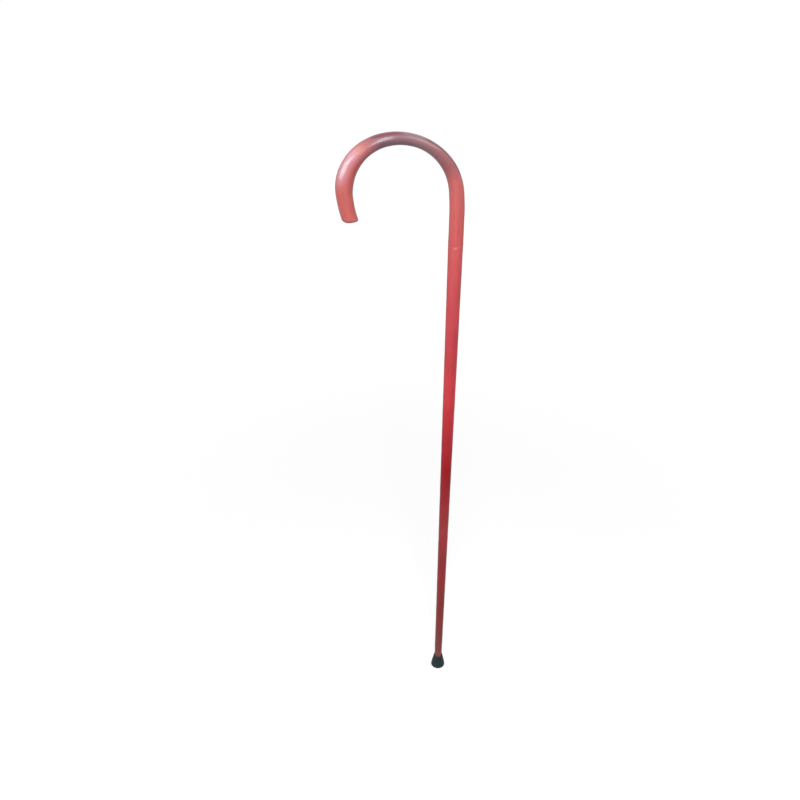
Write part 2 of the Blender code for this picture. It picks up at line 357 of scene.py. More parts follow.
def seam_group():
    """Larger of two glint masks. The spot fades as the squares of both distances, over its half sizes, add
    up.
    """
    tree, given, out = start_group("seam_glint", [("Place", ARROW)], [("Glint", NUMBER)])
    parts = axes(tree, given["Place"])
    angle = maths(tree, "ARCTAN2", parts["Y"], parts["X"])
    above = maths(tree, "SUBTRACT", parts["Z"], SEAM_HEIGHT)
    across = maths(tree, "DIVIDE", maths(tree, "SUBTRACT", angle, GLINT_MIDDLE), GLINT_HALF_ANGLE)
    along = maths(tree, "DIVIDE", maths(tree, "ADD", above, GLINT_DROP), GLINT_HALF_HEIGHT)
    far = maths(tree, "ADD", maths(tree, "MULTIPLY", across, across), maths(tree, "MULTIPLY", along, along))
    ragged = maths(tree, "MULTIPLY", noise(tree, given["Place"], GLINT_GRAIN), GLINT_RAGGED)
    glint_spot = between(tree, maths(tree, "ADD", far, ragged), *GLINT_FADE, 1.0, 0.0)
    away = maths(tree, "ABSOLUTE", above, 0.0)
    near = between(tree, away, LINE_HALF_HEIGHT / 2, LINE_HALF_HEIGHT, 1.0, 0.0)
    starts = between(tree, angle, GLINT_MIDDLE, GLINT_MIDDLE + GLINT_HALF_ANGLE)
    ends = between(tree, angle, LINE_END, LINE_END + GLINT_HALF_ANGLE, LINE_STRENGTH, 0.0)
    line = maths(tree, "MULTIPLY", near, maths(tree, "MULTIPLY", starts, ends))
    tree.links.new(maths(tree, "MAXIMUM", glint_spot, line), out["Glint"])
    return tree


SEAM_GLINT = seam_group()
print("Seam at", round(SEAM_HEIGHT / MM, 1), "mm")

# %% [markdown]
# The handle and the shaft are stained and lacquered together once the seam is glued, so the red runs over
# the seam with hardly a change. So one function builds the part of the finish they share, from the stain's
# colour up: darker pores, the painted glint at the seam, the ripples of the lacquer. Each material adds its
# own ramp of stain and painted light, because further from the seam each has worn, darkened and caught the
# light in its own way.

# %% The finish that handle and shaft share
LACQUER_IOR = 1.5
LACQUER_SPECULAR = 0.22
LACQUER_ROUGHNESS = 0.3
SCUFF_ROUGHNESS = 0.12
RIPPLE_HEIGHT = 0.16 * MM
PORE_RED = linear(112, 26, 30)
PORE_STRENGTH = 0.3
DEEP_STREAK = (0.86, 0.74, 0.76, 1.0)
# Pale pink of the painted highlight where light glints on the seam.
SEAM_GLINT_PINK = linear(240, 140, 144)


def lacquered(tree, shader, colour, roughness, place):
    """Feeds colour and lacquer to the shader: pores darken the colour, a painted glint lightens it at the
    seam, ripples and pebbles tilt the skin.
    """
    shader.inputs["IOR"].default_value = LACQUER_IOR
    shader.inputs["Specular IOR Level"].default_value = LACQUER_SPECULAR
    wood = use_group(tree, STAINED_WOOD, {"Place": place})
    skin = use_group(tree, LACQUER_SKIN, {"Place": place})
    seam = use_group(tree, SEAM_GLINT, {"Place": object_place(tree)})
    shade = blend(tree, maths(tree, "MULTIPLY", wood["Pores"], PORE_STRENGTH), colour, PORE_RED)
    # Painted highlight: the seam's spot and hairline lightened to pale pink.
    shade = blend(tree, seam["Glint"], shade, SEAM_GLINT_PINK)
    rough = maths(tree, "ADD", roughness, maths(tree, "MULTIPLY", skin["Scuffs"], SCUFF_ROUGHNESS))
    tree.links.new(shade, shader.inputs["Base Color"])
    tree.links.new(rough, shader.inputs["Roughness"])
    tree.links.new(bumps(tree, skin["Height"], RIPPLE_HEIGHT), shader.inputs["Normal"])


def grain_place(tree):
    """Each point's place in the straight wood, as an arrow whose Z is the length along it."""
    return node(tree, "ShaderNodeAttribute", {}, attribute_name="grain_place").outputs["Vector"]


# %% [markdown]
# The handle is one ash rod, steamed and pulled round a former. Its centre line is a straight leg and four
# bends of different radius in one plane. It is round at the seam, flatter over the top, where the hand
# rests, and fullest just before the nose. A curve object with a bevel can't change from round to oval, so
# the skin is worked out as a surface of two parameters: length along the centre line, and angle round it.

# %% Handle: centre line
HANDLE_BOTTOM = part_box("crook_handle")[0].z
LEG_LENGTH = 38.6 * MM
BEND_RADII = np.array([320, 77.7, 63, 155]) * MM
BEND_TURNS = np.radians([6, 97, 82.5, 14])
TURN_KNOTS = np.concatenate([[0.0], np.cumsum(BEND_TURNS)])
LENGTH_KNOTS = LEG_LENGTH + np.concatenate([[0.0], np.cumsum(BEND_RADII * BEND_TURNS)])
HANDLE_LENGTH = LENGTH_KNOTS[-1]


def centre_line(length):
    """Place (x, z) and turn at a length: up the leg, then each bend adds its radius times the change of
    cosine and sine between where it starts and where the point is."""
    turn = np.interp(length, LENGTH_KNOTS, TURN_KNOTS)
    x = np.zeros_like(turn)
    z = HANDLE_BOTTOM + np.minimum(length, LEG_LENGTH)
    for radius, start, end in zip(BEND_RADII, TURN_KNOTS, TURN_KNOTS[1:]):
        reached = np.clip(turn, start, end)
        x = x + radius * (np.cos(reached) - np.cos(start))
        z = z + radius * (np.sin(reached) - np.sin(start))
    return x, z, turn


print("Handle, along its centre line:", round(HANDLE_LENGTH / MM, 1), "mm")

# %% Handle: sections
SEAM_DIAMETER = 20.1 * MM
SEAM_CHAMFER = 0.4 * MM
STATIONS = np.array([-1, 0, 70, 168, math.degrees(TURN_KNOTS[-1])])
THICKNESSES = np.array([20.1, 20.0, 15.2, 23.4, 20.4]) * MM
WIDTHS = np.array([20.1, 20.0, 21.8, 23.4, 21.4]) * MM


def eased(at, values):
    """Value between stations: the share s of the way to the next one counts as three s squared less two
    s cubed, which leaves and reaches a station level."""
    step = np.clip(np.searchsorted(STATIONS, at, side="right") - 1, 0, len(STATIONS) - 2)
    share = np.clip((at - STATIONS[step]) / (STATIONS[step + 1] - STATIONS[step]), 0, 1)
    return values[step] + (values[step + 1] - values[step]) * share**2 * (3 - 2 * share)


def section_halves(length, turn):
    """Half thickness and half width: stations are counted in degrees turned, and -1 to 0 on the leg."""
    at = np.where(length < LEG_LENGTH, length / LEG_LENGTH - 1, np.degrees(turn))
    return eased(at, THICKNESSES) / 2, eased(at, WIDTHS) / 2


def handle_skin(length, inset, angle):
    """Points of the oval skin, and their place in the straight wood. Angle 0 is outside the bend."""
    x, z, turn = centre_line(length)
    half_thickness, half_width = section_halves(length, turn)
    outward = (half_thickness - inset) * np.cos(angle)
    across = (half_width - inset) * np.sin(angle)
    points = np.stack([x + outward * np.cos(turn), across, z + outward * np.sin(turn)], axis=-1)
    return points, np.stack([outward, across, length], axis=-1)


print("Handle grip:", THICKNESSES[2] / MM, "by", WIDTHS[2] / MM, "mm")

# %% [markdown]
# A bent and sanded rod is never a perfect tube. Hand sanding leaves slow hollows a tenth or two of a
# millimetre deep, which make a highlight swell and shrink along the hook. Three slow waves with lengths
# that don't divide each other give that without repeating. They only ever cut inwards, so the skin stays
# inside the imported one. Each wave is written as its crests round the rod, its radians to the metre along
# it, and the angle that it starts at.

# %% Handle: hand-sanded hollows
HOLLOW_DEPTH = 0.16 * MM
HOLLOW_FADE = 12 * MM
HOLLOW_WAVES = ((2, 97, 0.0), (3, -151, 1.3), (1, 229, 0.4))


def sanded(length, angle, total):
    """Depth of the hollows: the mean of three sines of length and angle, from 0 to 1, faded at both ends."""
    waves = sum(np.sin(crests * angle + rate * length + start) for crests, rate, start in HOLLOW_WAVES)
    fade = np.clip(np.minimum(length, total - length) / HOLLOW_FADE, 0, 1)
    return HOLLOW_DEPTH * fade * (waves / 6 + 0.5)


# %% [markdown]
# The nose is cut off with a saw, a little askew, and its edge is rounded: generously on the outside,
# where it meets clothes and walls, and tightly on the inside. The rounding is a quarter circle whose
# radius changes with the angle round the nose. After it, smaller and smaller rings fill the cut face. In
# front the edge has been sanded back a little, which makes it look flat from above.

# %% Handle: nose
NOSE_OUTER_ROUND = 5.4 * MM
NOSE_INNER_ROUND = 1.6 * MM
NOSE_FRONT_TRIM = 1.6 * MM
NOSE_CUT_SLOPE = math.tan(math.radians(11))
NOSE_STEPS = 14
FACE_STEPS = 6
FACE_SHRINK = 0.93
SKIN_STEP = 0.9 * MM


def nose_parameters():
    """Length and inset of the nose rings: a quarter circle of sweep, then rings that shrink to a point. The
    trim in front is largest at the edge, and falls off as the square of the way to the middle or side."""
    half = THICKNESSES[-1] / 2
    rounding = NOSE_INNER_ROUND + (NOSE_OUTER_ROUND - NOSE_INNER_ROUND) * (1 + np.cos(AROUND)) / 2
    sweep = np.linspace(0, math.pi / 2, NOSE_STEPS + 1)[:, None]
    inset = rounding * (1 - np.cos(sweep))
    short = rounding * (1 - np.sin(sweep))
    shrink = np.linspace(0, FACE_SHRINK, FACE_STEPS + 1)[1:, None]
    face_inset = rounding + (half - rounding) * shrink
    inset = np.vstack([inset, face_inset])
    short = np.vstack([short, np.zeros_like(face_inset)])
    short = short + NOSE_CUT_SLOPE * ((half - inset) * np.cos(AROUND) + half)
    in_front = np.clip(-np.sin(AROUND), 0, 1) * (half - inset) / half
    return HANDLE_LENGTH - short - NOSE_FRONT_TRIM * in_front**2, inset


def handle_parameters():
    """Length and inset of every skin ring, from above the seam chamfer to the middle of the nose."""
    nose_length, nose_inset = nose_parameters()
    count = round(HANDLE_LENGTH / SKIN_STEP)
    share = np.linspace(0, 1, count, endpoint=False)[:, None]
    first = np.full(SIDES, SEAM_CHAMFER)
    body_length = first + share * (nose_length[0] - first)
    body_inset = sanded(body_length, AROUND, HANDLE_LENGTH - NOSE_OUTER_ROUND)
    return np.vstack([body_length, nose_length]), np.vstack([body_inset, nose_inset])


lengths, insets = handle_parameters()
print("Handle skin:", lengths.shape[0], "rings of", lengths.shape[1], "points")

# %% [markdown]
# The seam end has a blind hole for the stud. It belongs to the same closed skin: from the middle of the
# hole's end, down its wall, out across the glued face, over a small chamfer and on up the leg. The filler
# in the chamfer hides where the piece ends.

# %% Handle: stud hole and whole piece
STUD_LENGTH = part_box("joint_stud")[1].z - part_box("joint_stud")[0].z
STUD_HOLE_RADIUS = 4.3 * MM
STUD_HOLE_SPARE = 0.3 * MM
STUD_HOLE_DEPTH = STUD_LENGTH / 2 + STUD_HOLE_SPARE


def handle_mesh():
    """Rings of the stud hole and the glued face, then the rings of the skin."""
    hole_top = SEAM_HEIGHT + STUD_HOLE_DEPTH
    face_edge = SEAM_DIAMETER / 2 - SEAM_CHAMFER
    radii = [STUD_HOLE_RADIUS / 2, STUD_HOLE_RADIUS, STUD_HOLE_RADIUS, face_edge]
    end = turned_rings(radii, [hole_top, hole_top, HANDLE_BOTTOM, HANDLE_BOTTOM])
    end_grain = end - np.array([0, 0, HANDLE_BOTTOM])
    skin, skin_grain = handle_skin(lengths, insets, AROUND)
    return mesh_from_rings("handle_wood", np.vstack([end, skin]), np.vstack([end_grain, skin_grain]))


# %% [markdown]
# The handle's colour changes along its length. The leg is a clear red. Over the top of the hook, where
# the palm rests, sweat and polish have dulled the red to a dark mauve, and that mauve is partly a painted
# reflection of grey surroundings. Two strips along the front of the very outside of the bend are a deep red
# that is painted shade, the dark rim that the bend shows there. Past the top the red is clear again, but in
# front on the outside of the bend a pale patch, peach at first and then pink, is a painted sheen: the
# reflection of a window on that flank. The stain is faintly worn to yellow at the very end of the nose. A
# colour ramp runs over the length in the straight wood, counted in millimetres from the seam and shifted a
# little by the blotches, so that no change has an even edge. Sheen and strips are masks of that length and
# of the place in the bend's section, where X is outwards and Y is across, with the front at minus.

# %% Handle: material
# Colour along the handle: stained red, with a dull mauve over the top of the hook that is partly palm wear
# and partly a painted reflection of grey surroundings.
HANDLE_STAIN_AND_LIGHT = (
    (0, linear(227, 104, 104)),
    (50, linear(226, 112, 110)),
    (82, linear(221, 115, 114)),
    (104, linear(174, 101, 105)),
    (160, linear(150, 114, 118)),
    (204, linear(134, 97, 111)),
    (212, linear(153, 105, 118)),
    (224, linear(182, 111, 114)),
    (254, linear(214, 98, 100)),
    (288, linear(221, 112, 106)),
    (332, linear(219, 106, 104)),
)
WORN_NOSE = linear(216, 132, 106)
WORN_STRENGTH = 0.16
WORN_FROM = HANDLE_LENGTH - 16 * MM
WORN_FULL = HANDLE_LENGTH - 4 * MM
STAIN_SHIFT = 9 * MM
FIGURE_STRENGTH = 0.7
POLISH = 0.6
POLISH_FULL = 90 * MM
POLISH_ROUGHNESS = 0.18
# Painted sheen: a pale peach and pink patch on the front of the bend's outside, a window's reflection.
SHEEN_PEACH = linear(232, 168, 148)
SHEEN_PINK = linear(222, 174, 186)
SHEEN_PINK_FROM = 230 * MM
SHEEN_PINK_TO = 248 * MM
SHEEN_STRENGTH = 0.8
SHEEN_PATCH = dict(
    start=221 * MM, end=264 * MM, fade=24 * MM, outwards=(-6 * MM, 9 * MM), across=(-7 * MM, 0.0, 1.0, 0.25)
)
# Painted shade: deep red strips along the front of the bend's outside, where its rim looks dark.
CROWN_SHADE_RED = linear(130, 67, 75)
CROWN_SHADE_STRIP = dict(
    start=176 * MM, end=210 * MM, fade=12 * MM, outwards=(0.0, 5 * MM), across=(-8.0 * MM, -5.4 * MM)
)
SHOULDER_SHADE_RED = linear(116, 70, 76)
SHOULDER_SHADE_STRIP = dict(
    start=84 * MM, end=148 * MM, fade=12 * MM, outwards=(0.0, 5 * MM), across=(-7.5 * MM, -4.9 * MM)
)


def stain_and_light_ramp(tree, share, stops):
    """Colour ramp through pairs of a share from 0 to 1 and the colour there."""
    ramp = node(tree, "ShaderNodeValToRGB", {0: share})
    ramp.color_ramp.elements[0].color = stops[0][1]
    ramp.color_ramp.elements[1].color = stops[-1][1]
    for stop, colour in stops[1:-1]:
        ramp.color_ramp.elements.new(stop).color = colour
    return ramp.outputs[0]


def outer_patch(tree, place, length, start, end, fade, outwards, across):
    """Mask on the outside of the bend. It rises from start and falls from end, times one smooth step
    outwards and one across, each given as its limits and, if not 0 and 1, its values there."""
    section = axes(tree, place)
    rises = between(tree, length, start, start + fade)
    falls = between(tree, length, end, end + fade, 1.0, 0.0)
    outside = between(tree, section["X"], *outwards)
    aside = between(tree, section["Y"], *across)
    along = maths(tree, "MULTIPLY", rises, falls)
    return maths(tree, "MULTIPLY", along, maths(tree, "MULTIPLY", outside, aside))


def handle_material():
    """Ramp of stained colour and painted light, then streaks, painted shade strips, painted sheen and worn
    end, under lacquer and a coat of polish.
    """
    material, tree, shader = new_material("handle_red_lacquer")
    place = grain_place(tree)
    length = axes(tree, place)["Z"]
    wood = use_group(tree, STAINED_WOOD, {"Place": place})
    uneven = maths(tree, "MULTIPLY", maths(tree, "SUBTRACT", wood["Blotch"], 0.5), STAIN_SHIFT)
    shifted = maths(tree, "ADD", length, uneven)
    stops = [(at * MM / HANDLE_LENGTH, colour) for at, colour in HANDLE_STAIN_AND_LIGHT]
    # Stained red with a painted reflection dulling the top of the hook.
    stain_and_light = stain_and_light_ramp(tree, maths(tree, "DIVIDE", shifted, HANDLE_LENGTH), stops)
    deep = blend(tree, 1.0, stain_and_light, DEEP_STREAK, "MULTIPLY")
    stain_and_light = blend(tree, maths(tree, "MULTIPLY", wood["Figure"], FIGURE_STRENGTH), stain_and_light, deep)
    # Painted shade: the dark rim along the front of the bend's outside, over the crown and the shoulder.
    stain_and_light = blend(tree, outer_patch(tree, place, shifted, **CROWN_SHADE_STRIP), stain_and_light, CROWN_SHADE_RED)
    stain_and_light = blend(tree, outer_patch(tree, place, shifted, **SHOULDER_SHADE_STRIP), stain_and_light, SHOULDER_SHADE_RED)
    # Painted sheen: pale peach turning pink on the front flank past the top of the hook.
    painted_sheen = blend(tree, between(tree, shifted, SHEEN_PINK_FROM, SHEEN_PINK_TO), SHEEN_PEACH, SHEEN_PINK)
    sheen_mask = maths(tree, "MULTIPLY", outer_patch(tree, place, shifted, **SHEEN_PATCH), SHEEN_STRENGTH)
    stain_and_light = blend(tree, sheen_mask, stain_and_light, painted_sheen)
    worn = between(tree, shifted, WORN_FROM, WORN_FULL)
    stain_and_light = blend(tree, maths(tree, "MULTIPLY", worn, WORN_STRENGTH), stain_and_light, WORN_NOSE)
    lacquered(tree, shader, stain_and_light, LACQUER_ROUGHNESS, place)
    polish = between(tree, length, 0.0, POLISH_FULL, 0.0, POLISH)
    tree.links.new(polish, shader.inputs["Coat Weight"])
    shader.inputs["Coat Roughness"].default_value = POLISH_ROUGHNESS
    return material


add_piece("handle_wood", handle_mesh(), handle_material(), "stick", "crook_handle")

# %% [markdown]
# The shaft is turned to a long straight taper and stained with the handle, from the seam down to just
# inside the ferrule. Its red is paler pink near the seam and darker towards the tip: partly a fade in the
# stain, and partly painted light, a sheen high up and shade lower down. The tip itself is bare wood, worn
# pale by the washer, and only shows when the ferrule is off.

# %% Shaft: shape
SHAFT_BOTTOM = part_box("shaft")[0].z
SHAFT_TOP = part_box("shaft")[1].z
SHAFT_LENGTH = SHAFT_TOP - SHAFT_BOTTOM
TIP_RADIUS = 5.95 * MM
TIP_CHAMFER = 1.0 * MM
SHAFT_STEP = 4 * MM
GRAIN_ASIDE = (0.03, 0.05)


def shaft_radius(height):
    """Straight taper: the share of the way up, times the difference of the end radii, added to the tip's."""
    return TIP_RADIUS + (height - SHAFT_BOTTOM) / SHAFT_LENGTH * (SEAM_DIAMETER / 2 - TIP_RADIUS)


def shaft_mesh():
    """Rings across the tip, up the skin less the sanded hollows, across the seam face and down the hole.
    The wood's own place is moved aside, so that the shaft doesn't repeat the handle's grain."""
    low = SHAFT_BOTTOM + TIP_CHAMFER
    high = SHAFT_TOP - SEAM_CHAMFER
    heights = np.linspace(low, high, round((high - low) / SHAFT_STEP))
    inset = sanded(heights[:, None] - low, AROUND, high - low)
    skin = turned_rings(shaft_radius(heights), heights)
    skin[..., 0] -= inset * np.cos(AROUND)
    skin[..., 1] -= inset * np.sin(AROUND)
    tip_radius = shaft_radius(SHAFT_BOTTOM) - TIP_CHAMFER
    tip = turned_rings([tip_radius / 2, tip_radius], [SHAFT_BOTTOM, SHAFT_BOTTOM])
    hole_end = SEAM_HEIGHT - STUD_HOLE_DEPTH
    face_edge = SEAM_DIAMETER / 2 - SEAM_CHAMFER
    radii = [face_edge, STUD_HOLE_RADIUS, STUD_HOLE_RADIUS, STUD_HOLE_RADIUS / 2]
    seam = turned_rings(radii, [SHAFT_TOP, SHAFT_TOP, hole_end, hole_end])
    rings = np.vstack([tip, skin, seam])
    return mesh_from_rings("shaft_wood", rings, rings + np.array([*GRAIN_ASIDE, -SHAFT_TOP]))


# %% Shaft: material
# Colour up the shaft: stained red, with painted sheen in the paler pink near the top and painted shade in the
# darker red low down.
SHAFT_STAIN_AND_LIGHT = (
    (0.00, linear(148, 88, 88)),
    (0.12, linear(148, 60, 58)),
    (0.22, linear(162, 54, 55)),
    (0.38, linear(186, 68, 72)),
    (0.53, linear(174, 20, 32)),
    (0.68, linear(226, 68, 76)),
    (0.85, linear(226, 88, 96)),
    (1.00, linear(227, 103, 104)),
)
BARE_WOOD = linear(196, 160, 120)
BARE_ROUGHNESS = 0.3
STAIN_LIMIT = 15 * MM
STAIN_EDGE = 2 * MM


def shaft_material():
    """Ramp of stained colour over the height, with painted sheen high up and painted shade low down, its
    blotches, and the bare tip, which is also duller, under lacquer.
    """
    material, tree, shader = new_material("shaft_red_lacquer")
    place = grain_place(tree)
    height = axes(tree, object_place(tree))["Z"]
    share = node(
        tree, "ShaderNodeMapRange", {"Value": height, "From Min": SHAFT_BOTTOM, "From Max": SHAFT_TOP}
    ).outputs["Result"]
    # Stained red with painted sheen high up and painted shade low down.
    stain_and_light = stain_and_light_ramp(tree, share, SHAFT_STAIN_AND_LIGHT)
    wood = use_group(tree, STAINED_WOOD, {"Place": place})
    deep = blend(tree, 1.0, stain_and_light, DEEP_STREAK, "MULTIPLY")
    stain_and_light = blend(tree, wood["Blotch"], stain_and_light, deep)
    bare = between(tree, height, STAIN_LIMIT - STAIN_EDGE, STAIN_LIMIT, 1.0, 0.0)
    stain_and_light = blend(tree, bare, stain_and_light, BARE_WOOD)
    roughness = maths(tree, "ADD", maths(tree, "MULTIPLY", bare, BARE_ROUGHNESS), LACQUER_ROUGHNESS)
    lacquered(tree, shader, stain_and_light, roughness, place)
    return material


add_piece("shaft_wood", shaft_mesh(), shaft_material(), "stick", "shaft")

# %% [markdown]
# The filler in the seam is a thin ring between the two chamfers, a hair below flush. A texture painted on
# the shaft could stand for it, but then the gap between the two pieces would show in profile.

# %% Seam filler: shape
FILLER_HALF_HEIGHT = 0.5 * MM
FILLER_RADIUS = SEAM_DIAMETER / 2 - 0.06 * MM
FILLER_INNER = SEAM_DIAMETER / 2 - 1.2 * MM
FILLED_SHARE = 0.9
SEAM_GAP = HANDLE_BOTTOM - SHAFT_TOP


def filler_mesh():
    """Ring with a T-shaped section: a lip that fills the chamfers, and a thin web in the glued gap.
    Both are a little smaller than their room, so that they touch neither piece."""
    web = SEAM_GAP / 2 * FILLED_SHARE
    lip = FILLER_HALF_HEIGHT * FILLED_SHARE
    edge = SEAM_DIAMETER / 2 - SEAM_CHAMFER
    radii = [FILLER_INNER, edge, FILLER_RADIUS, FILLER_RADIUS, edge, FILLER_INNER]
    offsets = [-web, -web, -lip, lip, web, web]
    rings = turned_rings(radii, SEAM_HEIGHT + np.array(offsets))
    return mesh_from_rings("seam_filler", rings, joined=True)


# %% Seam filler: material
FILLER_RED = linear(217, 98, 99)
MOTTLES_PER_METRE = 420.0
MOTTLE_STRENGTH = 0.25
FILLER_ROUGHNESS = 0.34


def filler_material():
    """Red like the wood's, faintly mottled with the pink of the painted glint, a little duller than the wood.
    """
    material, tree, shader = new_material("seam_filler_lacquer")
    place = object_place(tree)
    # Mottled with the pale pink of the seam's painted highlight.
    mottled = blend(tree, noise(tree, place, MOTTLES_PER_METRE), FILLER_RED, SEAM_GLINT_PINK)
    shade = blend(tree, MOTTLE_STRENGTH, FILLER_RED, mottled)
    lacquered(tree, shader, shade, FILLER_ROUGHNESS, place)
    return material


add_piece("seam_filler", filler_mesh(), filler_material(), "stick", None)

# %% [markdown]
# Inside the seam is a steel stud, threaded at both ends and plain in the middle. A thread is a spiral
# ridge, and it is one formula: the radius at a point depends on how far its height, less a share of the
# pitch for its angle, has run through the present turn. The ridge fades out before the plain middle and
# before each end, as a rolled thread does.

# %% Stud
STUD_RADIUS = 4.0 * MM
STUD_SHANK_HALF = 7 * MM
THREAD_PITCH = 2.0 * MM
THREAD_DEPTH = 0.7 * MM
THREAD_FADE = 1.5 * MM
STUD_END_CHAMFER = 1.0 * MM
STUD_ROWS = 420
STUD_SIDES = 48


def stud_mesh():
    """Radius: the crest less a V of the thread's depth times a fade, under a cone at each end."""
    turn = np.arange(STUD_SIDES) * 2 * math.pi / STUD_SIDES
    offset = np.linspace(-STUD_LENGTH / 2, STUD_LENGTH / 2, STUD_ROWS)[:, None]
    phase = (offset / THREAD_PITCH - turn / (2 * math.pi)) % 1.0
    groove = 1 - np.abs(2 * phase - 1)
    fade = np.clip((np.abs(offset) - STUD_SHANK_HALF) / THREAD_FADE, 0, 1)
    radius = STUD_RADIUS - THREAD_DEPTH * groove * fade
    cone = STUD_RADIUS - STUD_END_CHAMFER + (STUD_LENGTH / 2 - np.abs(offset))
    radius = np.minimum(radius, cone)
    height = np.broadcast_to(SEAM_HEIGHT + offset, radius.shape)
    rings = np.stack([radius * np.cos(turn), radius * np.sin(turn), height], axis=-1)
    return mesh_from_rings("stud_thread", rings)


# %% [markdown]
# Stud and washer are both plain steel, so the wear on them is one group: fine marks that run round the
# piece where a tool or the wood has rubbed, and faint dull stains. Each material gives it its own scale.

# %% Group: rubbed steel
MARKS = {"detail": 3.0, "stretch": (1.0, 1.0, 9.0)}
STAINS = {"scale": 240.0, "detail": 3.0}
MARK_LEVELS = (0.35, 0.7)
STAIN_LEVELS = (0.45, 0.7)
MARK_DEPTH = 0.02 * MM
MARK_STRENGTH = 0.6
MARK_ROUGHNESS = 0.2
STEEL_STAIN_STRENGTH = 0.6


def steel_group():
    """Masks of the marks, which a material scales, and of the stains."""
    tree, given, out = start_group(
        "rubbed_steel", [("Place", ARROW), ("Scale", NUMBER)], [("Marks", NUMBER), ("Stains", NUMBER)]
    )
    marks = noise(tree, given["Place"], given["Scale"], **MARKS)
    stains = noise(tree, given["Place"], **STAINS)
    tree.links.new(between(tree, marks, *MARK_LEVELS), out["Marks"])
    tree.links.new(between(tree, stains, *STAIN_LEVELS), out["Stains"])
    return tree


RUBBED_STEEL = steel_group()


def steel_material(name, clean, stained, scale, smooth):
    """Bright steel whose marks change its roughness and whose stains darken it."""
    material, tree, shader = new_material(name)
    worn = use_group(tree, RUBBED_STEEL, {"Place": object_place(tree), "Scale": scale})
    shade = blend(tree, maths(tree, "MULTIPLY", worn["Stains"], STEEL_STAIN_STRENGTH), clean, stained)
    rough = between(tree, worn["Marks"], 0.0, 1.0, smooth, smooth + MARK_ROUGHNESS)
    tree.links.new(shade, shader.inputs["Base Color"])
    tree.links.new(rough, shader.inputs["Roughness"])
    tree.links.new(bumps(tree, worn["Marks"], MARK_DEPTH, MARK_STRENGTH), shader.inputs["Normal"])
    shader.inputs["Metallic"].default_value = 1.0
    return material


stud_steel = steel_material(
    "stud_steel_worn", clean=linear(186, 188, 190), stained=linear(120, 112, 104), scale=900.0, smooth=0.28
)
add_piece("stud_thread", stud_mesh(), stud_steel, "stick", "joint_stud")

# %% [markdown]
# The ferrule is moulded rubber: a bell with a rolled lip that grips the shaft, a soft round foot and two
# ring grooves in the tread. It is a turned shape, so its outline is a list of straight runs and arcs.
# Arcs come from one helper. Real mould edges are never sharp, so every groove has rounded corners.

# %% Ferrule: outline helpers
FERRULE_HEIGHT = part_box("ferrule_boot")[1].z
FERRULE_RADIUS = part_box("ferrule_boot")[1].y
SOCKET_CLEARANCE = 0.3 * MM
LIP_WALL = 1.0 * MM
LIP_BAND = 1.5 * MM
SIDE_BULGE = 0.3 * MM
FOOT_ROUND = 2.0 * MM
TREAD_THICKNESS = 5.0 * MM
GROOVE_FIRST = 4.2 * MM
GROOVE_PITCH = 2.5 * MM
GROOVE_WIDTH = 1.1 * MM
GROOVE_DEPTH = 1.2 * MM
GROOVE_COUNT = 2
CORNER = 0.2 * MM
SIDE_STEPS = 24
FOOT_STEPS = 12
LIP_STEPS = 13


def arc(radius, height, size, start, end, steps=5):
    """Points on a circle of this size about a centre, from a start to an end angle in degrees."""
    angle = np.radians(np.linspace(start, end, steps))
    return np.column_stack([radius + size * np.cos(angle), height + size * np.sin(angle)])


def tread_groove(inner):
    """Groove in the tread, from its inner to its outer edge: down a round corner, across and back."""
    outer = inner + GROOVE_WIDTH
    return [
        arc(inner - CORNER, CORNER, CORNER, -90, 0),
        arc(inner + CORNER, GROOVE_DEPTH - CORNER, CORNER, 180, 90),
        arc(outer - CORNER, GROOVE_DEPTH - CORNER, CORNER, 90, 0),
        arc(outer + CORNER, CORNER, CORNER, 180, 270),
    ]


def ferrule_side():
    """Side from the foot's edge up to the lip band: a straight line, plus a bulge of four times the share
    of the way up times what is left of it."""
    lip_radius = shaft_radius(FERRULE_HEIGHT) + SOCKET_CLEARANCE + LIP_WALL
    share = np.linspace(0, 1, SIDE_STEPS)
    radius = FERRULE_RADIUS + share * (lip_radius - FERRULE_RADIUS)
    height = FOOT_ROUND + share * (FERRULE_HEIGHT - LIP_BAND - FOOT_ROUND)
    return np.column_stack([radius + 4 * SIDE_BULGE * share * (1 - share), height])


# %% Ferrule: whole outline
WASHER_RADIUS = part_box("ferrule_washer")[1].y
WASHER_CLEARANCE = 0.3 * MM


def ferrule_outline():
    """Tread outwards, round foot, side, lip, then down the socket to the floor that the washer lies on."""
    grooves = []
    for count in range(GROOVE_COUNT):
        grooves += tread_groove(GROOVE_FIRST + count * GROOVE_PITCH)
    bore_top = shaft_radius(FERRULE_HEIGHT) + SOCKET_CLEARANCE
    bore_low = shaft_radius(SHAFT_BOTTOM) + SOCKET_CLEARANCE
    recess = WASHER_RADIUS + WASHER_CLEARANCE
    lip_middle = bore_top + LIP_WALL / 2
    return np.vstack([
        [[GROOVE_FIRST / 2, 0.0]],
        *grooves,
        arc(FERRULE_RADIUS - FOOT_ROUND, FOOT_ROUND, FOOT_ROUND, -90, 0, FOOT_STEPS)[:-1],
        ferrule_side(),
        arc(lip_middle, FERRULE_HEIGHT - LIP_WALL / 2, LIP_WALL / 2, 0, 180, LIP_STEPS),
        [[bore_low, SHAFT_BOTTOM], [recess, SHAFT_BOTTOM], [recess, TREAD_THICKNESS]],
        [[recess / 2, TREAD_THICKNESS]],
    ])


outline = ferrule_outline()
print("Ferrule outline:", len(outline), "points")

# %% [markdown]
# Two halves of the mould meet in a plane through the axis, and leave a fine raised line down each side of
# the bell. It is a narrow bump in the radius at two angles: the distance from the line, squared, under
# the power of e. The whole ferrule is made smaller by the height of the line, so that it still fits.

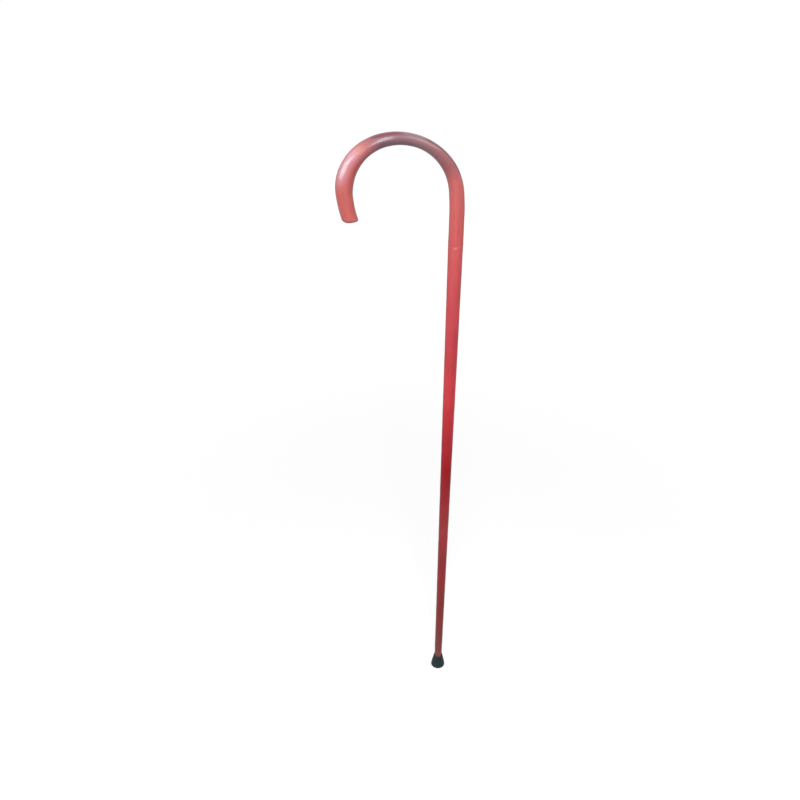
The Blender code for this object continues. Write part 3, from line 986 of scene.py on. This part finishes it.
# %% Ferrule: mesh with its mould line
MOULD_LINE_HEIGHT = 0.12 * MM
MOULD_LINE_WIDTH = 0.35 * MM
MOULD_LINE_ANGLE = math.radians(35)
MOULD_LINE_FROM = FOOT_ROUND / 4
FERRULE_SIDES = 192


def ferrule_mesh():
    """Turned outline, with the outer side drawn in by the line's height and let out again along it."""
    rings = turned_rings(outline[:, 0], outline[:, 1], FERRULE_SIDES)
    turn = np.arange(FERRULE_SIDES) * 2 * math.pi / FERRULE_SIDES
    radius, height = outline.T
    outside = (np.arange(len(outline)) < np.argmax(height)) & (height > MOULD_LINE_FROM)
    away = radius[:, None] * np.sin(turn - MOULD_LINE_ANGLE)
    ridge = np.exp(-((away / MOULD_LINE_WIDTH) ** 2))
    change = np.where(outside[:, None], MOULD_LINE_HEIGHT * (ridge - 1), 0.0)
    rings[..., 0] += change * np.cos(turn)
    rings[..., 1] += change * np.sin(turn)
    return mesh_from_rings("ferrule_rubber", rings)


# %% [markdown]
# Rubber is nearly black, but never evenly so. Dust greys it, most of all low down where it meets the
# ground, and the moulded skin has a very fine pebble. Its green cast comes from the photograph. The
# colour is a mix of black and dust, by a mask of noise and height.

# %% Ferrule: material
RUBBER_BLACK = linear(20, 42, 43)
RUBBER_DUST = linear(92, 96, 92)
DUST_HEIGHT = 9 * MM
DUST_SHARES = (0.35, 0.06)
SPECKLES = {"scale": 480.0, "detail": 4.0}
SPECKLE_LEVELS = (0.4, 0.7)
RUBBER_PEBBLES = {"scale": 2600.0, "detail": 2.0}
RUBBER_PEBBLE_HEIGHT = 0.03 * MM
RUBBER_PEBBLE_STRENGTH = 0.7
DULL_DUST = 0.4
RUBBER_ROUGHNESS = (0.55, 0.85)
RUBBER_SPECULAR = 0.3


def rubber_material():
    """Black rubber. The dust's share is that of its height times that of the speckles, and it dulls too."""
    material, tree, shader = new_material("ferrule_black_rubber")
    place = object_place(tree)
    low = between(tree, axes(tree, place)["Z"], 0.0, DUST_HEIGHT, *DUST_SHARES)
    speckle = between(tree, noise(tree, place, **SPECKLES), *SPECKLE_LEVELS)
    dust = maths(tree, "MULTIPLY", low, speckle)
    rough = between(tree, dust, 0.0, DULL_DUST, *RUBBER_ROUGHNESS)
    pebble = bumps(tree, noise(tree, place, **RUBBER_PEBBLES), RUBBER_PEBBLE_HEIGHT, RUBBER_PEBBLE_STRENGTH)
    tree.links.new(blend(tree, dust, RUBBER_BLACK, RUBBER_DUST), shader.inputs["Base Color"])
    tree.links.new(rough, shader.inputs["Roughness"])
    tree.links.new(pebble, shader.inputs["Normal"])
    shader.inputs["Specular IOR Level"].default_value = RUBBER_SPECULAR
    return material


add_piece("ferrule_rubber", ferrule_mesh(), rubber_material(), "ferrule", "ferrule_boot")

# %% [markdown]
# The washer is punched from zinc-plated sheet. The punch drags the metal over, so the top edges are
# round and the bottom ones crisp. Its section is a closed loop, and the rings join end to end.

# %% Washer
WASHER_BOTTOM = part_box("ferrule_washer")[0].z
WASHER_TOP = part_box("ferrule_washer")[1].z
WASHER_HOLE = 2.25 * MM
PUNCHED_ROUND = 0.35 * MM


def washer_mesh():
    """Section run round: bottom outwards, up, over a round edge, inwards, over another, and down the hole."""
    top = WASHER_TOP - PUNCHED_ROUND
    section = np.vstack([
        [[WASHER_HOLE, WASHER_BOTTOM], [WASHER_RADIUS, WASHER_BOTTOM]],
        arc(WASHER_RADIUS - PUNCHED_ROUND, top, PUNCHED_ROUND, 0, 90),
        arc(WASHER_HOLE + PUNCHED_ROUND, top, PUNCHED_ROUND, 90, 180),
    ])
    return mesh_from_rings("washer_zinc", turned_rings(section[:, 0], section[:, 1]), joined=True)


washer_zinc = steel_material(
    "washer_zinc_worn", clean=linear(176, 178, 182), stained=linear(96, 84, 70), scale=500.0, smooth=0.35
)
add_piece("washer_zinc", washer_mesh(), washer_zinc, "ferrule", "ferrule_washer")

# %% [markdown]
# The picture has a plain white background. White light on everything would wash the red out, so the
# background is bright only to rays that come straight from the camera, off a mirror or through glass:
# Light Path tells them apart. Off a mirror it is a little darker, as the far side of a real room is, so
# that the lacquer's rims stay red. The floor also has a plain pale surface under that glow, so the stick's
# shadow still falls on it.

# %% Floor and background
FLOOR_SIZE = 16.0
FLOOR_DROP = 0.2 * MM
FLOOR_NEAR = (0.42, 0.42, 0.42, 1.0)
FLOOR_FAR = (0.14, 0.14, 0.14, 1.0)
GLOW_NEAR = 0.66
GLOW_FAR = 0.97
GLOW_START = 0.2
GLOW_REACH = 1.7
ROOM_LEVEL = 0.28
MIRRORED_SHARE = 0.5


def seen_directly(tree):
    """1 for rays from the camera, a share for rays off a mirror or through glass, and 0 for the rest."""
    path = node(tree, "ShaderNodeLightPath", {}).outputs
    indirect = maths(tree, "MAXIMUM", path["Is Glossy Ray"], path["Is Transmission Ray"])
    return maths(tree, "MAXIMUM", path["Is Camera Ray"], maths(tree, "MULTIPLY", indirect, MIRRORED_SHARE))


def floor_material():
    """Pale matte surface and the glow over it, both levels a smooth step of the distance from the stick."""
    material = bpy.data.materials.new("pale_floor")
    material.use_nodes = True
    tree = material.node_tree
    tree.nodes.clear()
    away = node(tree, "ShaderNodeVectorMath", {0: object_place(tree)}, operation="LENGTH").outputs["Value"]
    level = between(tree, away, GLOW_START, GLOW_REACH, GLOW_NEAR, GLOW_FAR)
    glow = maths(tree, "MULTIPLY", seen_directly(tree), level)
    colour = blend(tree, between(tree, away, 0.0, GLOW_REACH), FLOOR_NEAR, FLOOR_FAR)
    pale = node(tree, "ShaderNodeBsdfDiffuse", {"Color": colour}).outputs[0]
    white = node(tree, "ShaderNodeEmission", {"Strength": glow}).outputs[0]
    both = node(tree, "ShaderNodeAddShader", {0: pale, 1: white}).outputs[0]
    node(tree, "ShaderNodeOutputMaterial", {"Surface": both})
    return material


def add_floor():
    """One square face, a hair under the tread. It belongs to the studio."""
    half = FLOOR_SIZE / 2
    mesh = bpy.data.meshes.new("studio_floor")
    corners = [(x, y, -FLOOR_DROP) for x, y in ((-half, -half), (half, -half), (half, half), (-half, half))]
    mesh.from_pydata(corners, [], [(0, 1, 2, 3)])
    mesh.materials.append(floor_material())
    floor = bpy.data.objects.new("studio_floor", mesh)
    bpy.context.collection.objects.link(floor)


def light_room():
    """World: white where it is seen, and a dim even grey where it lights the stick."""
    world = bpy.data.worlds.new("studio_room")
    bpy.context.scene.world = world
    world.use_nodes = True
    tree = world.node_tree
    tree.nodes.clear()
    level = between(tree, seen_directly(tree), 0.0, 1.0, ROOM_LEVEL, 1.0)
    back = node(tree, "ShaderNodeBackground", {"Color": (1.0, 1.0, 1.0, 1.0), "Strength": level}).outputs[0]
    node(tree, "ShaderNodeOutputWorld", {"Surface": back})


add_floor()
light_room()

# %% [markdown]
# Lacquer is a mirror, so the lamps are placed where the hook must reflect them. Seen from the hook, a
# broad pale sheen on its left flank mirrors a window low on the left, and the streak on its crown a long
# strip that runs overhead from in front. A weak wide fill on the right keeps that side from going dead.
# A lamp is placed by angles as seen from the hook, and its power follows from how bright its face is. The
# window has to be brighter in the lacquer than its light on the wood allows, so a second lamp in its place
# is for gloss only.

# %% Lamps
LAMP_TARGET = Vector((-0.08, 0.0, 0.85))
WATTS_PER_SQUARE_METRE = 4


def add_lamp(name, left, up, distance, width, height, brightness, only_gloss=False):
    """Soft rectangular lamp. Left and up are its angles in degrees from straight in front of the hook.
    Power is the watts that a square metre takes to shine as bright as white, times brightness and area.
    A lamp for gloss only shows in the lacquer and adds no light to its colour."""
    data = bpy.data.lights.new(name, "AREA")
    data.shape = "RECTANGLE"
    data.size = width
    data.size_y = height
    data.energy = WATTS_PER_SQUARE_METRE * brightness * width * height
    turn, rise = math.radians(left), math.radians(up)
    towards = Vector((-math.sin(turn) * math.cos(rise), -math.cos(turn) * math.cos(rise), math.sin(rise)))
    lamp = bpy.data.objects.new(name, data)
    lamp.location = LAMP_TARGET + distance * towards
    lamp.rotation_euler = towards.to_track_quat("Z", "Y").to_euler()
    lamp.visible_diffuse = not only_gloss
    bpy.context.collection.objects.link(lamp)


add_lamp("left_window", 66, 14, 2.2, 1.8, 1.1, 2.1)
add_lamp("window_glare", 66, 14, 2.19, 1.8, 1.1, 4.0, only_gloss=True)
add_lamp("overhead_strip", 6, 46, 2.0, 0.5, 2.4, 7.6)
add_lamp("right_fill", -75, 52, 2.4, 1.7, 1.5, 2.0)
